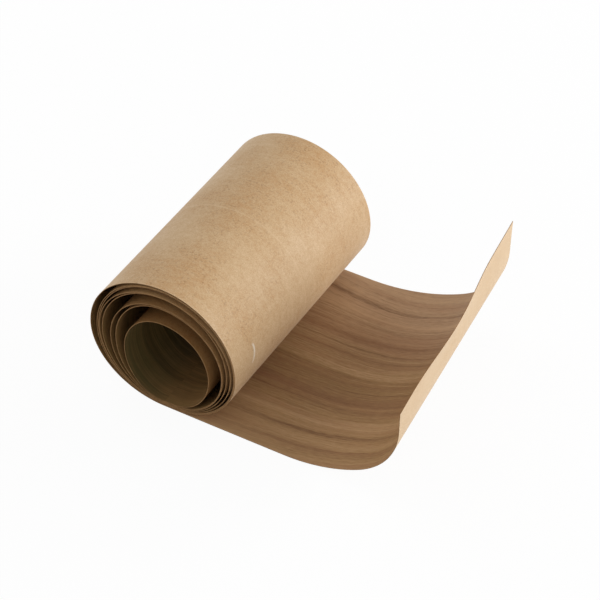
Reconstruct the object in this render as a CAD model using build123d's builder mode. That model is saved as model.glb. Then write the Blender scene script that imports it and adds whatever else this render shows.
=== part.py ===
"""Walnut veneer on a kraft paper backing: one long strip, rolled loosely with its wood face inward.

The roll lies on its side. Its outermost turn runs off over the floor to the right, wood face up.
There it curls up until it stands nearly upright, and its cut end leans out in one shallow wave.
Millimetres, +Z up, +Y along the roll's axis, +X the way the free end runs.
"""

import os
from math import cos, pi, radians

from build123d import *

# The strip
sheet_width = 180.0       # from edge to edge, along the roll's axis
wood_thickness = 0.25
kraft_thickness = 0.15
clearance = 0.12          # air between two turns that lie on each other

# The outermost turn, over its kraft side, measured from the line that the roll rests on
roll_left = 56.2          # reach to the left
roll_right = 55.4         # reach to the right
roll_height = 103.8
widest_height = 49.0      # height of its widest points above the floor
crest_x = 1.0             # where every turn is highest
rest_left = -1.0          # the turns lie flat on each other from here
rest_right = 6.5          # to here

# Every turn inside it, from the outermost in: the air that parts it from the turn round it,
# beyond the clearance, at the left, the top and the right, and how much lower it is widest
INNER_TURNS = [
    (4.7, 1.3, 0.0, 0.0),
    (0.7, 0.0, 0.0, 0.0),
    (0.0, 4.6, 1.9, 0.0),
    (1.8, 0.0, 2.6, 1.0),
    (5.7, 7.8, 2.6, 3.0),
    (3.7, 0.4, 0.0, 0.0),
    (5.9, 12.6, 9.7, 6.0),
]
inner_end_x = 0.0         # where the strip's inner end lies, on top of the turns below it

# The free end, measured along its kraft side
free_length = 223.5       # from the line that the roll rests on to the cut end
flat_run = 55.0           # flat on the floor from edge to edge as far as here
first_bend = 28.5         # degrees that the strip has turned at the end of the wide first bend
second_bend = 89.0        # and at the end of the tight second bend, from edge to edge alike
front_flat = 36.0         # what the front edge still lies flat beyond the flat run
front_radii = (116.0, 55.5)
back_flat = 0.5           # and the back edge, which starts to curl sooner
back_radii = (153.0, 63.0)
edge_lean = 1.5           # degrees that the last stretch leans back out at both edges
wave_lean = 17.0          # and this much more in the middle of the wave
wave_front = 19.0         # the wave starts this far behind the front edge
wave_back = 145.0         # and ends this far behind it
wave_steps = 6

pitch = wood_thickness + kraft_thickness + clearance
front_plane = Plane.XZ.offset(sheet_width / 2)


def turn_sizes():
    """Left reach, height, right reach and widest height of every turn, from the outermost in."""
    sizes = [(roll_left, roll_height, roll_right, widest_height)]
    for left_air, top_air, right_air, lower in INNER_TURNS:
        left, top, right, widest = sizes[-1]
        sizes.append((
            left - pitch - left_air,
            top - pitch - top_air,
            right - pitch - right_air,
            widest - lower,
        ))
    return sizes


def rolled_line(level):
    """Draws the strip's line round all the turns, `level` in from the outside of the kraft.

    Each turn is four quarter ellipses and a short flat. Gives the ends, outer one first.
    """
    line = Line((flat_run, level), (rest_left, level))
    outer_end = line @ 0
    for number, (left, top, right, widest) in enumerate(turn_sizes()):
        floor = number * pitch
        rise, drop = top - widest - level, widest - floor - level
        EllipticalCenterArc((rest_left, widest), left + rest_left - level, drop, 180)
        EllipticalCenterArc((crest_x, widest), left + crest_x - level, rise, 90)
        EllipticalCenterArc((crest_x, widest), right - crest_x - level, rise, 0)
        EllipticalCenterArc((rest_right, widest), right - rest_right - level, drop - pitch, 270)
        last = number == len(INNER_TURNS)
        flat_end = inner_end_x if last else rest_left
        line = Line((rest_right, floor + pitch + level), (flat_end, floor + pitch + level))
    return outer_end, line @ 1


def curled_line(place, level):
    """Draws the free end at one place across the width, `level` in from the outside of the kraft.

    The place is measured from the front edge. Gives the line's ends.
    """
    share = place / sheet_width
    flat = front_flat + (back_flat - front_flat) * share
    radii = [front + (back - front) * share for front, back in zip(front_radii, back_radii)]
    bends = [first_bend, second_bend - first_bend]
    last_stretch = free_length - flat_run - flat
    line = Line((flat_run, level), (flat_run + flat, level))
    start = line @ 0
    for bend, radius in zip(bends, radii):
        last_stretch -= radians(bend) * radius
        line = JernArc(line @ 1, line % 1, radius - level, bend)
    lean = edge_lean + wave_lean * wave_height(place)
    line = JernArc(line @ 1, line % 1, last_stretch / radians(lean) + level, -lean)
    return start, line @ 1


def wave_places():
    """Where the wave starts, steps and ends across the width, measured from the front edge."""
    wave_width = wave_back - wave_front
    return [wave_front + wave_width * step / wave_steps for step in range(wave_steps + 1)]


def wave_height(place):
    """How far up the wave a place across the width is: 0 at its two sides and 1 in its middle."""
    along = (place - wave_front) / (wave_back - wave_front)
    return (1 - cos(2 * pi * along)) / 2 if 0 < along < 1 else 0


def rolled_section(low, high):
    """One layer of the rolled part, seen end on: what lies between two levels in the strip."""
    with BuildSketch(front_plane) as section:
        with BuildLine():
            low_outer, low_inner = rolled_line(low)
            high_outer, high_inner = rolled_line(high)
            Line(low_outer, high_outer)
            Line(low_inner, high_inner)
        make_face()
    return section.sketch


def curled_section(place, low, high):
    """One layer of the free end, seen end on at one place across the width."""
    with BuildSketch(front_plane.offset(-place)) as section:
        with BuildLine():
            low_start, low_cut = curled_line(place, low)
            high_start, high_cut = curled_line(place, high)
            Line(low_start, high_start)
            Line(low_cut, high_cut)
        make_face()
    return section.sketch


def layer(low, high):
    """The whole strip's layer between two levels, from the inner end to the cut end."""
    places = [0, *wave_places(), sheet_width]
    with BuildPart() as strip:
        extrude(rolled_section(low, high), amount=sheet_width, dir=(0, 1, 0))
        loft(sections=[curled_section(place, low, high) for place in places], ruled=True)
    return strip.part


# The kraft backing is the outside of the roll and what lies on the floor
with BuildPart() as kraft_backing:
    add(layer(0, kraft_thickness))

# The walnut leaf is glued to it all over, and is the inside of every turn
with BuildPart() as walnut_face:
    add(layer(kraft_thickness, kraft_thickness + wood_thickness))

# The origin goes to the middle of the floor under the whole piece
middle_x = kraft_backing.part.bounding_box().center().X
os.makedirs("parts", exist_ok=True)
for name, piece in (("kraft_backing", kraft_backing.part), ("walnut_face", walnut_face.part)):
    piece = piece.moved(Location((-middle_x, 0, 0)))
    piece.label = name
    export_step(piece, f"parts/{name}.step")
    box = piece.bounding_box()
    print(name, "volume", round(piece.volume), "size", [round(v, 1) for v in box.size])

strip_length = walnut_face.part.volume / (wood_thickness * sheet_width)
print("middle_x", round(middle_x, 3), "strip length", round(strip_length, 1))
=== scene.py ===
from math import cos, pi, radians, sin

import bpy
import numpy as np
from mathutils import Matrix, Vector


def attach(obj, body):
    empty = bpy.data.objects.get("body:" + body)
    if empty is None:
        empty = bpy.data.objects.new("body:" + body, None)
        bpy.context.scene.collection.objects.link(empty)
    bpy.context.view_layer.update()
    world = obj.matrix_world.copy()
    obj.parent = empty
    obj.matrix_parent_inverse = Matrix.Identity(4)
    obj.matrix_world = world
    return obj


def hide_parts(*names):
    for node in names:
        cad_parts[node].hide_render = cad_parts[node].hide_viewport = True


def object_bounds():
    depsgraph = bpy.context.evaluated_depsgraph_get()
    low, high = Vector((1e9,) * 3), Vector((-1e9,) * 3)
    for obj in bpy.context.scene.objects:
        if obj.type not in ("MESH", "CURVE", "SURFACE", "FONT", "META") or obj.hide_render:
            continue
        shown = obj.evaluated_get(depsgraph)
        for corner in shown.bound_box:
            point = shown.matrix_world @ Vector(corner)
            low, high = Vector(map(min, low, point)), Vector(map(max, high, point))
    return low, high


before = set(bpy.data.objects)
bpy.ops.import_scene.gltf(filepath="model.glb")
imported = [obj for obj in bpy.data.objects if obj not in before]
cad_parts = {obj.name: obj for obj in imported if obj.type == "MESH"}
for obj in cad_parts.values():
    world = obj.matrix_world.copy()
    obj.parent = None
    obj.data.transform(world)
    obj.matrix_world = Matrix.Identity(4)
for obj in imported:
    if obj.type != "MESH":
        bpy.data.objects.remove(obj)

solid_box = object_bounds()

# Kraft backing
# One long strip of brown kraft paper, glued all over the underside of the walnut leaf. It is the
# outside of every turn and the side of the free end that shows at the right. The rolled part is
# quarter ellipses and short flats. The free end runs flat, bends up and leans out in one wave.
sheet_width = 0.180
wood_thickness = 0.00025
kraft_thickness = 0.00015
clearance = 0.00012      # air between two turns that lie on each other
pitch = wood_thickness + kraft_thickness + clearance

# The outermost turn, from the line that the roll rests on: its reach to the left and the right, its
# height, and how high it is where it is widest
roll_left, roll_right, roll_height, widest_height = 0.0562, 0.0554, 0.1038, 0.049
crest_x = 0.001                              # where every turn is highest
rest_left, rest_right = -0.001, 0.0065       # between these the turns lie flat on each other
inner_end_x = 0.0                            # where the strip's inner end lies
# Every turn inside it, from the outermost in: the air round it at the left, the top and the right,
# beyond the clearance, and how much lower it is widest
inner_turns = [
    (0.0047, 0.0013, 0.0, 0.0),
    (0.0007, 0.0, 0.0, 0.0),
    (0.0, 0.0046, 0.0019, 0.0),
    (0.0018, 0.0, 0.0026, 0.001),
    (0.0057, 0.0078, 0.0026, 0.003),
    (0.0037, 0.0004, 0.0, 0.0),
    (0.0059, 0.0126, 0.0097, 0.006),
]

# The free end: its length to the cut end, and how far it lies flat from edge to edge
free_length, flat_run = 0.2235, 0.055
first_bend, second_bend = radians(28.5), radians(89)     # how far it has turned after each of its bends
# How much further the front and the back edge lie flat, and the radii of their two bends
front_flat, front_radii = 0.036, (0.116, 0.0555)
back_flat, back_radii = 0.0005, (0.153, 0.063)
# How far the last stretch leans back out at its edges, how much more in the middle of the wave, and
# where the wave starts and ends behind the front edge
edge_lean, wave_lean = radians(1.5), radians(17)
wave_front, wave_back = 0.019, 0.145

front_y = solid_box[0][1]
rest_x = solid_box[0][0] + roll_left
edge_play = 0.00035      # how far the edges of single turns stand back from the widest one
# Steps of the mesh across the strip, along a quarter of a turn, and along a bend of the free end
steps_across, steps_to_quarter, steps_to_bend = 40, 30, 22
# and along its flats: from the roll out, on to the first bend, and where two turns rest on each other
steps_from_roll, steps_before_bend, steps_at_rest = 12, 10, 3


def quarter(centre_x, centre_z, reach, rise, start):
    """Points along a quarter ellipse, clockwise from the start angle in degrees, without the first."""
    angles = np.radians(start - np.linspace(0, 90, steps_to_quarter + 1)[1:])
    return np.stack([centre_x + reach * np.cos(angles), centre_z + rise * np.sin(angles)], -1)


def straight(start, end, steps):
    """Points along a straight run, without the first."""
    return np.linspace(start, end, steps + 1)[1:]


def rolled_line(level):
    """The line round all the turns, from the flat run to the inner end, `level` in from the outside."""
    line = [np.array([[flat_run, level]])]
    line.append(straight((flat_run, level), (rest_left, level), steps_from_roll))
    left, top, right, widest = roll_left, roll_height, roll_right, widest_height
    for turn, air in enumerate([(0, 0, 0, 0), *inner_turns]):
        if turn:
            left, top, right = (size - pitch - gap for size, gap in zip((left, top, right), air))
            widest -= air[3]
        floor = turn * pitch
        rise, drop = top - widest - level, widest - floor - level
        line.append(quarter(rest_left, widest, left + rest_left - level, drop, 270))
        line.append(quarter(crest_x, widest, left + crest_x - level, rise, 180))
        line.append(quarter(crest_x, widest, right - crest_x - level, rise, 90))
        line.append(quarter(rest_right, widest, right - rest_right - level, drop - pitch, 0))
        flat_end = inner_end_x if turn == len(inner_turns) else rest_left
        rest_z = floor + pitch + level
        line.append(straight((rest_right, rest_z), (flat_end, rest_z), steps_at_rest))
    return np.concatenate(line)


def curled_line(place, level):
    """The line of the free end at one place across the width, from the flat run to the cut end."""
    share = place / sheet_width
    flat_end = flat_run + front_flat + (back_flat - front_flat) * share
    radii = [front + (back - front) * share for front, back in zip(front_radii, back_radii)]
    bends = [(first_bend, radii[0]), (second_bend - first_bend, radii[1])]
    last_stretch = free_length - flat_end - sum(bend * radius for bend, radius in bends)
    along_wave = (place - wave_front) / (wave_back - wave_front)
    wave = (1 - cos(2 * pi * along_wave)) / 2 if 0 < along_wave < 1 else 0.0
    lean = -(edge_lean + wave_lean * wave)
    line = [straight((flat_run, level), (flat_end, level), steps_before_bend)]
    x, z, heading = flat_end, level, 0.0
    for bend, radius in [*bends, (lean, last_stretch / lean)]:
        radius -= level
        turned = heading + np.linspace(0, bend, steps_to_bend + 1)
        centre_x, centre_z = x - radius * sin(heading), z + radius * cos(heading)
        arc = np.stack([centre_x + radius * np.sin(turned), centre_z - radius * np.cos(turned)], -1)
        line.append(arc[1:])
        x, z, heading = arc[-1][0], arc[-1][1], turned[-1]
    return np.concatenate(line)


places = np.linspace(0, sheet_width, steps_across + 1)


def strip_points(level):
    """The whole strip at one level as a grid of points: columns along the strip, rows across it."""
    rolled = rolled_line(level)[::-1]
    return np.stack([np.concatenate([rolled, curled_line(place, level)]) for place in places], 1)


# How far along the strip every point of the grid is, in metres from the inner end, and its place
# across the strip, in metres from the front edge
outside = strip_points(0.0)
strides = np.hypot(*np.moveaxis(np.diff(outside, axis=0), -1, 0))
strip_along = np.concatenate([np.zeros((1, len(places))), np.cumsum(strides, 0)])
strip_place = np.broadcast_to(places, strip_along.shape)

# The columns of the outermost turn, and how far along the strip it starts and comes down on the floor
free_columns = steps_from_roll + steps_before_bend + 3 * steps_to_bend
outer_turn = slice(-(free_columns + 1 + 4 * steps_to_quarter), -free_columns)
outer_turn_along, rest_along = (float(strip_along[outer_turn, 0][end]) for end in (0, -1))


def along_at(angle):
    """How far along the strip a point on the outermost turn is, by its angle as seen from the front."""
    x, z = outside[outer_turn, 0, 0], outside[outer_turn, 0, 1] - widest_height
    nearest = np.argmin(np.abs(np.arctan2(z, x) - angle))
    return float(strip_along[outer_turn, 0][nearest])


def edge_set_back(slow, shift, fast):
    """How far one long edge stands back, all along the strip, in slow waves times fast ones."""
    middle = strip_along[:, steps_across // 2]
    return edge_play * (0.5 + 0.5 * np.sin(middle * slow + shift)) * (0.5 + 0.5 * np.sin(middle * fast))


def strip_layer(name, low, high, materials, inside_end=0.0):
    """A closed mesh of one layer between two levels. Its cut edges take the second material.

    A third material goes on its faces as far as inside_end along the strip.
    """
    share = strip_place / sheet_width
    front_play = edge_set_back(slow=9.0, shift=0.6, fast=31.0)
    back_play = edge_set_back(slow=7.0, shift=2.1, fast=23.0)
    y = front_y + strip_place + front_play[:, None] * (1 - share) - back_play[:, None] * share
    corners = []
    for level in (low, high):
        grid = strip_points(level)
        corners.append(np.stack([grid[..., 0] + rest_x, y, grid[..., 1]], -1).reshape(-1, 3))
    columns, rows = strip_along.shape
    outer = np.arange(columns * rows).reshape(columns, rows)
    inner = outer + columns * rows

    def quads(a, b, c, d):
        """Four-cornered faces, from the numbers of their corners."""
        return np.stack([a, b, c, d], -1).reshape(-1, 4)

    sides = np.concatenate([
        quads(outer[:-1, :-1], outer[:-1, 1:], outer[1:, 1:], outer[1:, :-1]),
        quads(inner[:-1, :-1], inner[1:, :-1], inner[1:, 1:], inner[:-1, 1:]),
    ])
    cuts = np.concatenate([
        quads(outer[:-1, 0], outer[1:, 0], inner[1:, 0], inner[:-1, 0]),
        quads(outer[:-1, -1], inner[:-1, -1], inner[1:, -1], outer[1:, -1]),
        quads(outer[0, :-1], inner[0, :-1], inner[0, 1:], outer[0, 1:]),
        quads(outer[-1, :-1], outer[-1, 1:], inner[-1, 1:], inner[-1, :-1]),
    ])
    faces = np.concatenate([sides, cuts])
    mesh = bpy.data.meshes.new(name)
    mesh.from_pydata(np.concatenate(corners).tolist(), [], faces.tolist())
    inside = strip_along[:-1, steps_across // 2] < inside_end
    side_material = np.repeat(np.where(inside, 2, 0), rows - 1)
    cut_material = np.ones(len(cuts), int)
    mesh.polygons.foreach_set("material_index", np.concatenate([side_material, side_material, cut_material]))
    measures = np.stack([strip_along, strip_place], -1).reshape(-1, 2)
    strip_map = mesh.uv_layers.new(name="strip")
    strip_map.uv.foreach_set("vector", np.concatenate([measures, measures])[faces.ravel()].ravel())
    mesh.shade_smooth()
    mesh.set_sharp_from_angle(angle=radians(40))
    for material in materials:
        mesh.materials.append(material)
    layer = bpy.data.objects.new(name, mesh)
    bpy.context.collection.objects.link(layer)
    return layer


def add_node(tree, kind, inputs=(), **settings):
    """Adds a node, makes its settings, and fills or links its inputs by name or number."""
    node = tree.nodes.new(kind)
    for key, value in settings.items():
        setattr(node, key, value)
    for key, value in dict(inputs).items():
        if isinstance(value, bpy.types.NodeSocket):
            tree.links.new(value, node.inputs[key])
        else:
            node.inputs[key].default_value = value
    return node


def maths(tree, operation, first, second=0.0, third=0.0):
    """One sum on values that change over the surface."""
    inputs = {0: first, 1: second, 2: third}
    return add_node(tree, "ShaderNodeMath", inputs, operation=operation).outputs[0]


def remap(tree, value, low, high, to_low=0.0, to_high=1.0):
    """Spreads the part of a value between low and high over a new range, and clamps the rest."""
    inputs = {0: value, 1: low, 2: high, 3: to_low, 4: to_high}
    return add_node(tree, "ShaderNodeMapRange", inputs).outputs[0]


def mix_colour(tree, share, first, second, blend="MIX"):
    """Lays a share of the second colour over the first."""
    inputs = {0: share, 6: first, 7: second}
    return add_node(tree, "ShaderNodeMix", inputs, data_type="RGBA", blend_type=blend).outputs[2]


def spots(tree, where, size, detail=2.0, roughness=0.5):
    """Even noise whose spots are about as large as the size, in metres."""
    inputs = {"Vector": where, "Scale": 1 / size, "Detail": detail, "Roughness": roughness}
    return add_node(tree, "ShaderNodeTexNoise", inputs).outputs["Fac"]


def along_and_place(tree, where):
    """The strip's two measures one by one: how far along it is, and the place across it."""
    parts = add_node(tree, "ShaderNodeSeparateXYZ", {0: where}).outputs
    return parts["X"], parts["Y"]


def new_group(name, inputs, outputs):
    """A node group for an effect that several materials use, with its sockets by name and kind."""
    group = bpy.data.node_groups.new(name, "ShaderNodeTree")
    for in_out, sockets in (("INPUT", inputs), ("OUTPUT", outputs)):
        for title, kind in sockets.items():
            group.interface.new_socket(title, in_out=in_out, socket_type="NodeSocket" + kind)
    return group, group.nodes.new("NodeGroupInput").outputs


def put_out(group, values):
    """Ends a node group with what it gives, by name."""
    add_node(group, "NodeGroupOutput", values)
    return group


def make_strip_grain():
    """A node group: noise drawn out along the strip, for wood grain and for the lie of paper fibres."""
    inputs = {"Measures": "Vector", "Length": "Float", "Width": "Float", "Detail": "Float"}
    group, given = new_group("strip_grain", inputs, {"Grain": "Float"})
    stroke = add_node(group, "ShaderNodeCombineXYZ", {0: given["Length"], 1: given["Width"], 2: 1.0})
    inputs = {0: given["Measures"], 1: stroke.outputs[0]}
    scaled = add_node(group, "ShaderNodeVectorMath", inputs, operation="DIVIDE").outputs[0]
    inputs = {"Vector": scaled, "Scale": 1.0, "Detail": given["Detail"]}
    return put_out(group, {"Grain": add_node(group, "ShaderNodeTexNoise", inputs).outputs["Fac"]})


def make_edge_wear():
    """A node group: a mask that is 1 where the strip's two long edges are rubbed, and 0 inside."""
    group, given = new_group("edge_wear", {"Measures": "Vector", "Reach": "Float"}, {"Mask": "Float"})
    _, place = along_and_place(group, given["Measures"])
    from_edge = maths(group, "MINIMUM", place, maths(group, "SUBTRACT", sheet_width, place))
    ragged = remap(group, spots(group, given["Measures"], 0.004, 3.0), 0.3, 0.7, 0.2, 1.8)
    reach = maths(group, "MULTIPLY", given["Reach"], ragged)
    mask = remap(group, maths(group, "DIVIDE", from_edge, reach), 0.0, 1.0, 1.0, 0.0)
    return put_out(group, {"Mask": mask})


strip_grain = make_strip_grain()
edge_wear = make_edge_wear()


def grain(tree, where, length, width, detail=2.0):
    """Strokes of a length and width, in metres, that lie along the strip."""
    inputs = {"Measures": where, "Length": length, "Width": width, "Detail": detail}
    return add_node(tree, "ShaderNodeGroup", inputs, node_tree=strip_grain).outputs["Grain"]


def wear(tree, where, reach):
    """The rubbed edges, as far in as the reach in metres."""
    inputs = {"Measures": where, "Reach": reach}
    return add_node(tree, "ShaderNodeGroup", inputs, node_tree=edge_wear).outputs["Mask"]


def new_material(name):
    """A material with its shader, and the strip's own measures to build patterns on."""
    material = bpy.data.materials.new(name)
    material.use_nodes = True
    tree = material.node_tree
    shader = tree.nodes["Principled BSDF"]
    shader.inputs["Specular IOR Level"].default_value = 0.2      # paper and bare wood hardly shine
    where = add_node(tree, "ShaderNodeUVMap", uv_map="strip").outputs["UV"]
    return material, tree, shader, where


def raise_fibres(tree, shader, height, strength, depth):
    """Raises the surface where the height is more, by about the depth in metres."""
    bump = add_node(tree, "ShaderNodeBump", {"Strength": strength, "Distance": depth, "Height": height})
    tree.links.new(bump.outputs["Normal"], shader.inputs["Normal"])


def written(red, green, blue):
    """A colour as it looks on a screen, turned into the linear values that a socket takes."""
    values = [value / 255 for value in (red, green, blue)]
    return [v / 12.92 if v <= 0.04045 else ((v + 0.055) / 1.055) ** 2.4 for v in values] + [1.0]


kraft_colour = written(192, 161, 122)
kraft_dark = written(180, 138, 91)
kraft_pale = written(211, 184, 149)
kraft_fleck = written(142, 105, 66)

# The paper's spots, from the clouds down to single specks: their size, and how much tone they give
cloud_size, cloud_tone = 0.040, (-0.10, 0.17)
blotch_size, blotch_tone = 0.0042, 0.16
mottle_size, mottle_tone = 0.0016, 0.18
speck_size, speck_tone = 0.0008, 0.30
# The lie of its fibres, and the faint rings round the roll: length and width, and tone
lie_stroke, lie_tone = (0.006, 0.0016), 0.06
ring_stroke, ring_tone = (0.090, 0.0050), 0.045
even_tone = 0.08         # for all of it
middle_tone = 0.50       # at this tone the paper is neither dark nor pale
fleck_size, bunch_size, fleck_share = 0.0018, 0.0090, 0.52
fibre_size = 0.0006

# Along the top of the roll the paper is darker and more speckled, in a band this wide to either side
rubbed_along, rubbed_reach, rubbed_share = along_at(radians(76)), 0.026, 0.55
kraft_worn_in = 0.0010                           # how far in its edges are rubbed pale
crease_place, crease_width = 0.091, 0.0009       # a faint pale crease runs round the roll here
# The pale scuff near the front edge, low on the right of the outermost turn: half its length, its place
# from the front edge, how far it slants and bows, and half its width
scuff_colour = written(224, 214, 196)
scuff_along = along_at(radians(5))
scuff_reach, scuff_place, scuff_slant, scuff_bow, scuff_width = 0.0078, 0.0250, 0.0014, 0.0021, 0.0013
# Painted sheen: the free end is painted paler and whiter, for the sheen that grazing light gives it, from
# here to here along the strip
kraft_painted_sheen = written(200, 176, 145)
painted_sheen_start, painted_sheen_end, painted_sheen_share = rest_along + 0.04, rest_along + 0.12, 0.65


def make_scuff(tree, where):
    """A mask of the pale scuff: a short bowed line with soft ends."""
    along, place = along_and_place(tree, where)
    share = maths(tree, "DIVIDE", maths(tree, "SUBTRACT", along, scuff_along), scuff_reach)
    bowed = maths(tree, "MULTIPLY_ADD", maths(tree, "MULTIPLY", share, share), -scuff_bow, scuff_place)
    bowed = maths(tree, "MULTIPLY_ADD", share, scuff_slant, bowed)
    off = maths(tree, "ABSOLUTE", maths(tree, "SUBTRACT", place, bowed))
    line = remap(tree, off, scuff_width * 0.3, scuff_width, 1.0, 0.0)
    ends = remap(tree, maths(tree, "ABSOLUTE", share), 0.75, 1.0, 1.0, 0.0)
    broken = remap(tree, spots(tree, where, mottle_size), 0.25, 0.55, 0.55, 1.0)
    return maths(tree, "MULTIPLY", maths(tree, "MULTIPLY", line, ends), broken)


def make_kraft_face():
    """A node group: the paper's colour and roughness, and the height of its fibres."""
    outputs = {"Colour": "Color", "Roughness": "Float", "Fibres": "Float"}
    group, given = new_group("kraft_face", {"Measures": "Vector"}, outputs)
    where = given["Measures"]
    along, place = along_and_place(group, where)
    off_top = maths(group, "ABSOLUTE", maths(group, "SUBTRACT", along, rubbed_along))
    rubbed = remap(group, off_top, 0.3 * rubbed_reach, rubbed_reach, 1.0, 0.0)
    clouds = remap(group, spots(group, where, cloud_size), 0.35, 0.65)
    clouds = maths(group, "MULTIPLY_ADD", rubbed, -rubbed_share, clouds)
    blotches = remap(group, spots(group, where, blotch_size, 3.0, 0.6), 0.34, 0.66)
    mottle = remap(group, spots(group, where, mottle_size, 3.0, 0.6), 0.32, 0.68)
    specks = remap(group, spots(group, where, speck_size, 2.0, 0.6), 0.32, 0.68)
    lie = remap(group, grain(group, where, *lie_stroke, 3.0), 0.3, 0.7)

    # Everything that makes it paler or darker, added up
    tone = maths(group, "ADD", remap(group, clouds, -0.5, 1.0, *cloud_tone), even_tone)
    rings = remap(group, grain(group, where, *ring_stroke, 3.0), 0.3, 0.7, -ring_tone, ring_tone)
    tone = maths(group, "ADD", tone, rings)
    patterns = ((blotches, blotch_tone), (mottle, mottle_tone), (specks, speck_tone), (lie, lie_tone))
    for pattern, share in patterns:
        tone = maths(group, "MULTIPLY_ADD", pattern, share, tone)
    colour = mix_colour(group, remap(group, tone, middle_tone, 0.18, 0.0, 0.90), kraft_colour, kraft_dark)
    colour = mix_colour(group, remap(group, tone, middle_tone, 0.85, 0.0, 0.75), colour, kraft_pale)

    # Dark flecks in bunches, most of them in the dark clouds
    flecks = remap(group, spots(group, where, fleck_size), 0.52, 0.66, 0.0, fleck_share)
    bunches = remap(group, spots(group, where, bunch_size), 0.40, 0.60, 0.20, 1.0)
    in_clouds = remap(group, clouds, 0.8, 0.0, 0.20, 0.95)
    flecks = maths(group, "MULTIPLY", flecks, maths(group, "MULTIPLY", bunches, in_clouds))
    colour = mix_colour(group, flecks, colour, kraft_fleck)

    # Worn edges, the crease, the scuff and the painted sheen on the free end
    worn = maths(group, "MULTIPLY", wear(group, where, kraft_worn_in), 0.4)
    colour = mix_colour(group, worn, colour, kraft_pale)
    off_crease = maths(group, "ABSOLUTE", maths(group, "SUBTRACT", place, crease_place))
    colour = mix_colour(group, remap(group, off_crease, 0.0002, crease_width, 0.30, 0.0), colour, kraft_pale)
    scuffed = maths(group, "MULTIPLY", make_scuff(group, where), 0.9)
    colour = mix_colour(group, scuffed, colour, scuff_colour)
    painted_sheen = remap(group, along, painted_sheen_start, painted_sheen_end, 0.0, painted_sheen_share)
    colour = mix_colour(group, painted_sheen, colour, kraft_painted_sheen)

    fibres = maths(group, "MULTIPLY_ADD", mottle, 0.4, spots(group, where, fibre_size, 5.0, 0.65))
    rough = remap(group, tone, 0.2, 0.8, 0.66, 0.54)
    return put_out(group, {"Colour": colour, "Roughness": rough, "Fibres": fibres})


kraft_face = make_kraft_face()


def make_kraft(name):
    """Kraft paper. Its colour is left to be linked."""
    material, tree, shader, where = new_material(name)
    paper = add_node(tree, "ShaderNodeGroup", {"Measures": where}, node_tree=kraft_face).outputs
    tree.links.new(paper["Roughness"], shader.inputs["Roughness"])
    raise_fibres(tree, shader, paper["Fibres"], 0.35, 0.00006)
    return material, tree, shader, where, paper["Colour"]


def make_kraft_outside():
    """The paper outside the roll, in the light. Its fibres catch light that grazes it."""
    material, tree, shader, _, colour = make_kraft("kraft_paper")
    tree.links.new(colour, shader.inputs["Base Color"])
    shader.inputs["Sheen Weight"].default_value = 0.12
    shader.inputs["Sheen Roughness"].default_value = 0.5
    shader.inputs["Sheen Tint"].default_value = (1.0, 0.90, 0.80, 1.0)
    return material


# Painted shade on the paper between the turns, which makes it a darker, deeper brown: what is left of each
# colour near the strip's inner end, and from three quarters of the way to the outermost turn
kraft_painted_shade = ((0.54, 0.41, 0.27, 1.0), (1.00, 0.88, 0.73, 1.0))
painted_shade_start, painted_shade_end = 0.15 * outer_turn_along, 0.75 * outer_turn_along


def make_kraft_inside():
    """The paper between the turns, darkened with painted shade."""
    material, tree, shader, where, colour = make_kraft("kraft_inside")
    along, _ = along_and_place(tree, where)
    # Painted shade: darker and deeper brown towards the strip's inner end
    painted_shade = mix_colour(tree, remap(tree, along, painted_shade_start, painted_shade_end), *kraft_painted_shade)
    colour = mix_colour(tree, 1.0, colour, painted_shade, "MULTIPLY")
    tree.links.new(colour, shader.inputs["Base Color"])
    return material


def make_cut_edge(name, light, dark, thread):
    """The cut through a layer, seen on the ends of the roll: short fibres, drawn out along the strip."""
    material, tree, shader, where = new_material(name)
    shader.inputs["Roughness"].default_value = 0.8
    fibres = remap(tree, grain(tree, where, thread, 0.001, 3.0), 0.32, 0.68)
    tree.links.new(mix_colour(tree, fibres, dark, light), shader.inputs["Base Color"])
    raise_fibres(tree, shader, fibres, 0.4, 0.00004)
    return material


kraft_edge = make_cut_edge("kraft_cut_edge", written(186, 147, 100), written(142, 104, 66), 0.004)
kraft_materials = (make_kraft_outside(), kraft_edge, make_kraft_inside())
backing = strip_layer("kraft_strip", 0.0, kraft_thickness, kraft_materials, outer_turn_along)
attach(backing, "root")
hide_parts("kraft_backing")

# Walnut leaf
# A leaf of real walnut, sliced thin and glued to the kraft with its grain along the strip. It is the
# inside of every turn and the upper face of the free end. It is sanded and has no finish on it yet.
walnut_front = written(164, 129, 89)
walnut_mid = written(149, 116, 77)
walnut_back = written(168, 134, 100)
walnut_dark = written(112, 79, 53)
walnut_pale = written(192, 156, 117)
walnut_red = written(150, 108, 77)

# Place from the front edge, half width and strength of each dark line, in metres
front_lines = (
    (0.0035, 0.0012, 0.25), (0.0095, 0.0018, 0.42), (0.0150, 0.0008, 0.28), (0.0250, 0.0028, 0.44),
    (0.0430, 0.0012, 0.35), (0.0525, 0.0010, 0.50), (0.0600, 0.0030, 0.40), (0.0648, 0.0010, 0.45),
    (0.0708, 0.0010, 0.85), (0.0745, 0.0025, 0.35),
)
back_lines = (
    (0.0830, 0.0030, 0.30), (0.1045, 0.0013, 0.50), (0.1125, 0.0012, 0.80), (0.1180, 0.0009, 0.45),
    (0.1235, 0.0030, 0.40), (0.1295, 0.0010, 0.60), (0.1430, 0.0014, 0.50), (0.1608, 0.0028, 1.00),
    (0.1710, 0.0012, 0.45),
)
# Place from the front edge and lightness of the broad bands of the wood
broad_bands = (
    (0.000, 0.56), (0.008, 0.44), (0.018, 0.58), (0.025, 0.44), (0.034, 0.68), (0.045, 0.51),
    (0.058, 0.31), (0.068, 0.43), (0.074, 0.50), (0.079, 0.38), (0.087, 0.59), (0.096, 0.59),
    (0.104, 0.38), (0.112, 0.54), (0.122, 0.30), (0.129, 0.52), (0.137, 0.42), (0.148, 0.66),
    (0.156, 0.46), (0.166, 0.58), (0.180, 0.52),
)
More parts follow.
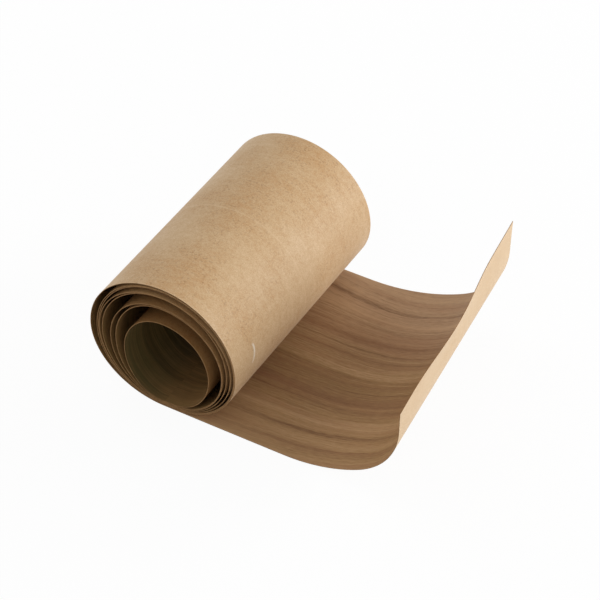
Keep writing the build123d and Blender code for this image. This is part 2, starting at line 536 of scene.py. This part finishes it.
# The lines and bands wander to either side: length and width of the wave, and how far it reaches
sway_stroke, sway_reach = (0.130, 0.060), 0.0024
ripple_stroke, ripple_reach = (0.025, 0.008), 0.0007
# Towards the cut end they draw together by this share, about this place, and the lines are fainter
line_pinch, pinch_place = 0.08, 0.080
pinch_start, pinch_end = rest_along + 0.035, rest_along + 0.115
faint_start, faint_end, faint_share = rest_along + 0.08, rest_along + 0.15, 0.65

# The grain between them: length and width of its strokes, and how much lightness they give or take
streak_stroke, streak_light = (0.16, 0.0036), 0.34
fine_stroke, fine_light = (0.05, 0.0010), 0.27
dash_stroke, dash_light = (0.006, 0.0009), 0.26
pore_stroke = (0.0075, 0.00022)
line_light = -0.50
middle_light = 0.50      # at this lightness the wood is neither dark nor pale
walnut_worn_in = 0.0008  # how far in its edges are rubbed pale

# Painted shade on the wood inside the roll, which makes it darker and duller: what is left of each colour
# where the painted shade is light and where it is deep
walnut_shade_light, walnut_shade_deep = (0.70, 0.63, 0.47, 1.0), (0.22, 0.27, 0.18, 1.0)
# How deep the painted shade is, by the way along the strip from its inner end: most on the left wall of the
# bore
shade_depth_places = (
    (0.000, 0.42), (0.034, 0.00), (0.100, 0.40), (0.130, 0.80), (0.160, 0.92), (0.186, 0.95),
    (0.202, 0.75), (0.212, 0.42), (0.300, 0.47),
)
# Light streaks and fine grain take less painted shade, and towards the back edge only this share of it is
# left
shade_streaks, shade_fine, shade_back = -0.45, -0.30, 0.30


def place_ramp(tree, place, stops):
    """A grey ramp from stops given as place in metres, the last one included, and grey value."""
    reach = stops[-1][0]
    ramp = add_node(tree, "ShaderNodeValToRGB", {0: maths(tree, "DIVIDE", place, reach)})
    elements = ramp.color_ramp.elements
    for number, (at, grey) in enumerate(stops):
        element = elements[number] if number < 2 else elements.new(1.0)
        element.position = at / reach
        element.color = (grey, grey, grey, 1.0)
    return ramp.outputs["Color"]


def line_ramp(tree, place, lines):
    """A ramp that is 0 all over, but for each line, where it rises to the line's strength."""
    stops = [(0.0, 0.0)]
    for at, half, strength in lines:
        stops += [(at - half, 0.0), (at, strength), (at + half, 0.0)]
    return place_ramp(tree, place, stops + [(sheet_width, 0.0)])


def make_walnut():
    """The wood: lines and bands that wander along the strip, with streaks, dashes and pores between."""
    material, tree, shader, where = new_material("walnut_leaf")
    along, straight_place = along_and_place(tree, where)
    drawn = remap(tree, along, pinch_start, pinch_end, 0.0, line_pinch)
    off_middle = maths(tree, "SUBTRACT", straight_place, pinch_place)
    place = maths(tree, "MULTIPLY_ADD", off_middle, drawn, straight_place)
    sway = remap(tree, grain(tree, where, *sway_stroke, 1.0), 0.2, 0.8, -sway_reach, sway_reach)
    ripple = remap(tree, grain(tree, where, *ripple_stroke), 0.2, 0.8, -ripple_reach, ripple_reach)
    place = maths(tree, "ADD", maths(tree, "ADD", place, sway), ripple)
    swayed = add_node(tree, "ShaderNodeCombineXYZ", {0: along, 1: place}).outputs[0]

    bands = place_ramp(tree, place, broad_bands)
    lines = maths(tree, "MAXIMUM", line_ramp(tree, place, front_lines), line_ramp(tree, place, back_lines))
    uneven = remap(tree, grain(tree, swayed, 0.05, 0.006, 3.0), 0.3, 0.6, 0.25, 1.1)
    lines = maths(tree, "MULTIPLY", lines, uneven)
    lines = maths(tree, "MULTIPLY", lines, remap(tree, along, faint_start, faint_end, 1.0, faint_share))
    streaks = remap(tree, grain(tree, swayed, *streak_stroke, 3.0), 0.25, 0.75, -0.5, 0.5)
    fine = remap(tree, grain(tree, swayed, *fine_stroke, 3.0), 0.25, 0.75, -0.5, 0.5)
    dashes = remap(tree, grain(tree, swayed, *dash_stroke, 3.0), 0.28, 0.72, -0.5, 0.5)
    pores = remap(tree, grain(tree, swayed, *pore_stroke), 0.58, 0.72)
    light = bands
    patterns = ((streaks, streak_light), (fine, fine_light), (dashes, dash_light), (lines, line_light))
    for pattern, share in patterns:
        light = maths(tree, "MULTIPLY_ADD", pattern, share, light)

    # The wood's colour from the front edge to the back, then its dark and pale grain, painted light near the
    # roll's foot, and its red grain
    colour = mix_colour(tree, remap(tree, place, 0.075, 0.030), walnut_mid, walnut_front)
    colour = mix_colour(tree, remap(tree, place, 0.085, 0.150), colour, walnut_back)
    colour = mix_colour(tree, remap(tree, light, middle_light, 0.0), colour, walnut_dark)
    colour = mix_colour(tree, remap(tree, light, middle_light, 1.0), colour, walnut_pale)
    # Painted light: near the roll's foot at the front the wood is painted paler, to lift the roll's shadow
    # there
    painted_light_front = remap(tree, straight_place, 0.045, 0.005)
    painted_light_roll = remap(tree, along, rest_along + 0.095, rest_along + 0.040, 0.0, 0.55)
    colour = mix_colour(tree, maths(tree, "MULTIPLY", painted_light_front, painted_light_roll), colour, walnut_pale)
    red = remap(tree, grain(tree, swayed, 0.12, 0.009), 0.5, 0.75, 0.0, 0.45)
    red = maths(tree, "ADD", red, remap(tree, bands, 0.50, 0.35, 0.0, 0.30))
    colour = mix_colour(tree, red, colour, walnut_red)
    colour = mix_colour(tree, maths(tree, "MULTIPLY", pores, 0.35), colour, walnut_dark)
    worn = maths(tree, "MULTIPLY", wear(tree, where, walnut_worn_in), 0.5)
    colour = mix_colour(tree, worn, colour, walnut_pale)

    # Painted shade: inside the roll it is darker and duller
    shade_depth = maths(tree, "MULTIPLY_ADD", streaks, shade_streaks, place_ramp(tree, along, shade_depth_places))
    shade_depth = maths(tree, "MULTIPLY_ADD", fine, shade_fine, shade_depth)
    shade_depth = maths(tree, "MULTIPLY", shade_depth, remap(tree, straight_place, 0.060, 0.110, 1.0, shade_back))
    painted_shade = mix_colour(tree, shade_depth, walnut_shade_light, walnut_shade_deep)
    inside = remap(tree, along, rest_along - 0.005, rest_along + 0.015, 1.0, 0.0)
    colour = mix_colour(tree, inside, colour, painted_shade, "MULTIPLY")
    tree.links.new(colour, shader.inputs["Base Color"])

    rough = maths(tree, "MULTIPLY_ADD", pores, 0.18, remap(tree, light, 0.1, 0.9, 0.60, 0.50))
    tree.links.new(rough, shader.inputs["Roughness"])
    height = maths(tree, "MULTIPLY_ADD", pores, -1.0, maths(tree, "MULTIPLY", fine, 0.4))
    raise_fibres(tree, shader, height, 0.4, 0.00005)
    return material


walnut_edge = make_cut_edge("walnut_cut_edge", written(150, 112, 74), written(104, 74, 46), 0.008)
walnut_materials = (make_walnut(), walnut_edge)
leaf = strip_layer("walnut_strip", kraft_thickness, kraft_thickness + wood_thickness, walnut_materials)
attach(leaf, "root")
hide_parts("walnut_face")

# Floor, light and camera
# The roll lies on a plain white floor under a pale sky. A wide lamp stands low behind it on the right,
# like a window, and a weak one hangs on the left. The camera looks down on the front end of the roll.
white = (1.0, 1.0, 1.0, 1.0)
floor_colour, floor_reach = (0.9, 0.9, 0.9, 1.0), 6.0
floor_glow = 0.94        # how much of the floor that is seen is its own white, and not its shadows
sky_strength = 0.66
camera_turn, camera_tilt = radians(30.158), radians(41.682)
camera_distance, camera_shift_right, camera_shift_up = 1.75966, 0.08980, 0.07041
camera_lens = 158.985


def seen_rays(tree):
    """1 for what the camera, a reflection or glass sees, and 0 for the light that falls on things."""
    ray = tree.nodes.new("ShaderNodeLightPath").outputs
    seen = maths(tree, "MAXIMUM", ray["Is Camera Ray"], ray["Is Glossy Ray"])
    return maths(tree, "MAXIMUM", seen, ray["Is Transmission Ray"])


def make_floor():
    """The floor: one wide white square that keeps the roll's shadow."""
    mesh = bpy.data.meshes.new("floor")
    corners = [(-1, -1), (1, -1), (1, 1), (-1, 1)]
    mesh.from_pydata([(x * floor_reach, y * floor_reach, 0) for x, y in corners], [], [(0, 1, 2, 3)])
    floor = bpy.data.objects.new("floor", mesh)
    bpy.context.collection.objects.link(floor)
    material = bpy.data.materials.new("white_floor")
    material.use_nodes = True
    tree = material.node_tree
    shader = tree.nodes["Principled BSDF"]
    shader.inputs["Base Color"].default_value = floor_colour
    shader.inputs["Roughness"].default_value = 0.9
    shader.inputs["Specular IOR Level"].default_value = 0.0
    glow = add_node(tree, "ShaderNodeEmission", {"Color": white, "Strength": 1.0}).outputs[0]
    bright = add_node(tree, "ShaderNodeMixShader", {0: floor_glow, 1: shader.outputs[0], 2: glow}).outputs[0]
    both = add_node(tree, "ShaderNodeMixShader", {0: seen_rays(tree), 1: shader.outputs[0], 2: bright})
    tree.links.new(both.outputs[0], tree.nodes["Material Output"].inputs["Surface"])
    mesh.materials.append(material)


def make_sky():
    """An even sky that lights the roll plainly and looks white."""
    world = bpy.data.worlds.new("pale_sky")
    bpy.context.scene.world = world
    world.use_nodes = True
    tree = world.node_tree
    lit = tree.nodes["Background"]
    lit.inputs["Color"].default_value = white
    lit.inputs["Strength"].default_value = sky_strength
    bright = add_node(tree, "ShaderNodeBackground", {"Color": white, "Strength": 1.0}).outputs[0]
    both = add_node(tree, "ShaderNodeMixShader", {0: seen_rays(tree), 1: lit.outputs[0], 2: bright})
    tree.links.new(both.outputs[0], tree.nodes["World Output"].inputs["Surface"])


def make_lamp(name, place, size, power):
    """A square soft white lamp that points at the middle of the object."""
    lamp = bpy.data.lights.new(name, "AREA")
    lamp.shape = "SQUARE"
    lamp.size = size
    lamp.energy = power
    holder = bpy.data.objects.new(name, lamp)
    holder.location = place
    towards = Vector((0, 0, 0.05)) - Vector(place)
    holder.rotation_euler = towards.to_track_quat("-Z", "Y").to_euler()
    bpy.context.collection.objects.link(holder)


def make_camera():
    """The camera, to the right of the roll's front end and above it."""
    camera = bpy.data.cameras.new("camera")
    camera.lens = camera_lens
    camera.sensor_width = 36.0
    camera.clip_end = 50.0
    holder = bpy.data.objects.new("camera", camera)
    level_back = Vector((sin(camera_turn), -cos(camera_turn), 0)) * cos(camera_tilt)
    back = level_back + Vector((0, 0, sin(camera_tilt)))
    right = Vector((cos(camera_turn), sin(camera_turn), 0))
    up = back.cross(right)
    aim = Vector((rest_x, front_y, 0)) + right * camera_shift_right + up * camera_shift_up
    holder.location = aim + back * camera_distance
    holder.rotation_euler = back.to_track_quat("Z", "Y").to_euler()
    bpy.context.collection.objects.link(holder)
    bpy.context.scene.camera = holder


make_floor()
make_sky()
make_lamp("side_lamp", place=(1.6, 1.6, 0.5), size=1.2, power=49.0)
make_lamp("left_lamp", place=(-1.2, 0.3, 1.7), size=1.0, power=6.0)
make_camera()
view = bpy.context.scene.view_settings
view.view_transform = "Standard"
